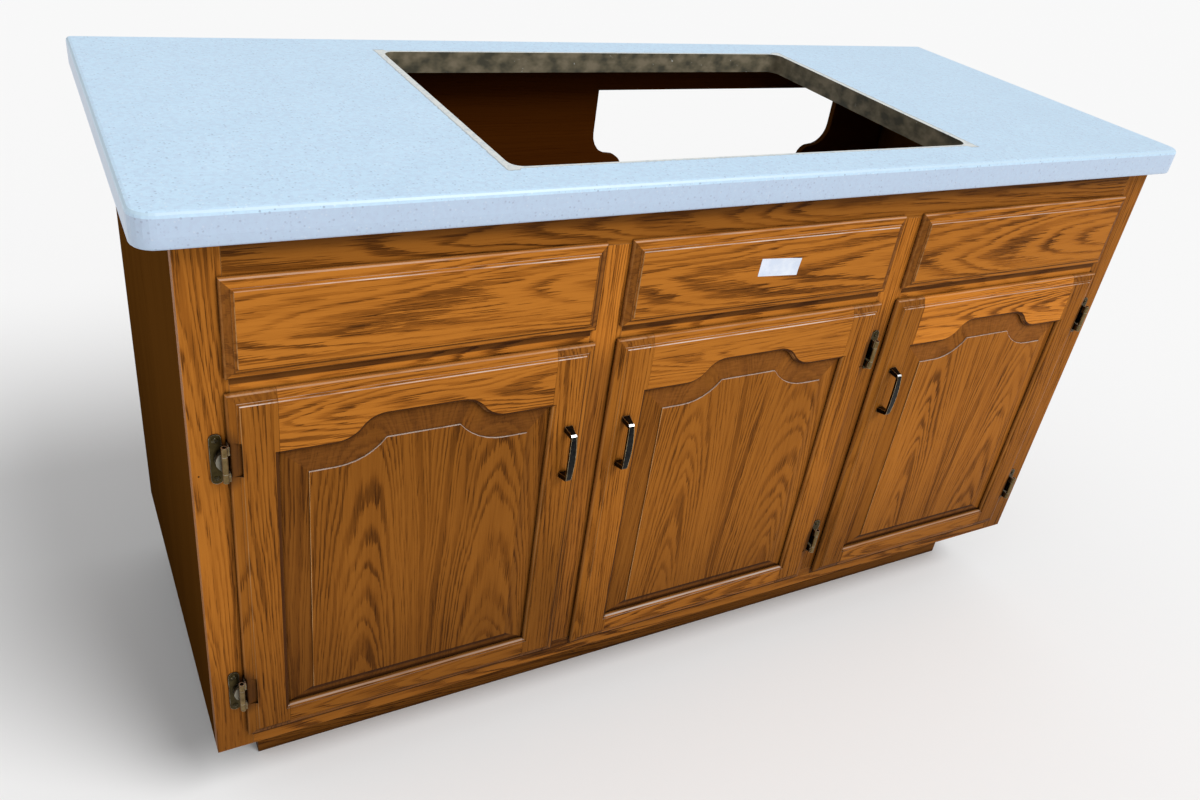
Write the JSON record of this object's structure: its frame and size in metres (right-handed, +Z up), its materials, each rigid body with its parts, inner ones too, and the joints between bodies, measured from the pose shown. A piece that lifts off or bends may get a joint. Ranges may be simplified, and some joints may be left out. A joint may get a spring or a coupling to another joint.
{
  "type": "sink base cabinet",
  "caption": "Floor-standing kitchen sink base cabinet with an oak face frame, hinged raised-panel doors, false drawer fronts and a speckled worktop with a sink opening.",
  "frame": {"origin": "on the floor, under the middle of the whole part's box", "axes": "+X along the width to the right as seen from the front, +Y from the front to the back, +Z up"},
  "size_m": [1.598, 0.645, 0.9083],
  "materials": {
    "oak": "satin stained oak",
    "veneer": "dark satin veneer",
    "lining": "dull brown board",
    "worktop": "speckled, semi-gloss",
    "hinge": "antique brass",
    "handle": "black with worn edges",
    "label": "blank matt paper"
  },
  "bodies": {
    "cabinet": {"left_side_panel": "veneer", "right_side_panel": "veneer", "floor_panel": "lining", "back_panel": "lining", "plinth_front": "veneer", "plinth_back": "veneer", "plinth_left": "veneer", "plinth_right": "veneer", "left_frame_stile": "oak", "right_frame_stile": "oak", "frame_top_rail": "oak", "frame_bottom_rail": "oak", "left_mullion": "oak", "right_mullion": "oak", "left_mid_rail": "oak", "centre_mid_rail": "oak", "right_mid_rail": "oak", "left_drawer_front": "oak", "left_front_cleat": "lining", "centre_drawer_front": "oak", "centre_front_cleat": "lining", "right_drawer_front": "oak", "right_front_cleat": "lining", "countertop": "worktop", "left_door_upper_hinge_frame_leaf": "hinge", "left_door_upper_hinge_pin": "hinge", "left_door_lower_hinge_frame_leaf": "hinge", "left_door_lower_hinge_pin": "hinge", "centre_door_upper_hinge_frame_leaf": "hinge", "centre_door_upper_hinge_pin": "hinge", "centre_door_lower_hinge_frame_leaf": "hinge", "centre_door_lower_hinge_pin": "hinge", "right_door_upper_hinge_frame_leaf": "hinge", "right_door_upper_hinge_pin": "hinge", "right_door_lower_hinge_frame_leaf": "hinge", "right_door_lower_hinge_pin": "hinge"},
    "left_door": {"left_door_hinge_stile": "oak", "left_door_pull_stile": "oak", "left_door_top_rail": "oak", "left_door_bottom_rail": "oak", "left_door_panel": "oak", "left_door_handle": "handle", "left_door_upper_hinge_door_leaf": "hinge", "left_door_lower_hinge_door_leaf": "hinge"},
    "centre_door": {"centre_door_hinge_stile": "oak", "centre_door_pull_stile": "oak", "centre_door_top_rail": "oak", "centre_door_bottom_rail": "oak", "centre_door_panel": "oak", "centre_door_handle": "handle", "centre_door_upper_hinge_door_leaf": "hinge", "centre_door_lower_hinge_door_leaf": "hinge"},
    "right_door": {"right_door_hinge_stile": "oak", "right_door_pull_stile": "oak", "right_door_top_rail": "oak", "right_door_bottom_rail": "oak", "right_door_panel": "oak", "right_door_handle": "handle", "right_door_upper_hinge_door_leaf": "hinge", "right_door_lower_hinge_door_leaf": "hinge"}
  },
  "joints": [
    {"name": "left_door_hinge", "type": "hinge", "parent": "cabinet", "child": "left_door", "pos_m": [-0.7276, -0.30215, 0.414], "axis": [0, 0, -1], "range_deg": [0, 100]},
    {"name": "centre_door_hinge", "type": "hinge", "parent": "cabinet", "child": "centre_door", "pos_m": [0.2351, -0.30215, 0.414], "axis": [0, 0, 1], "range_deg": [0, 100]},
    {"name": "right_door_hinge", "type": "hinge", "parent": "cabinet", "child": "right_door", "pos_m": [0.7276, -0.30215, 0.414], "axis": [0, 0, 1], "range_deg": [0, 100]}
  ]
}
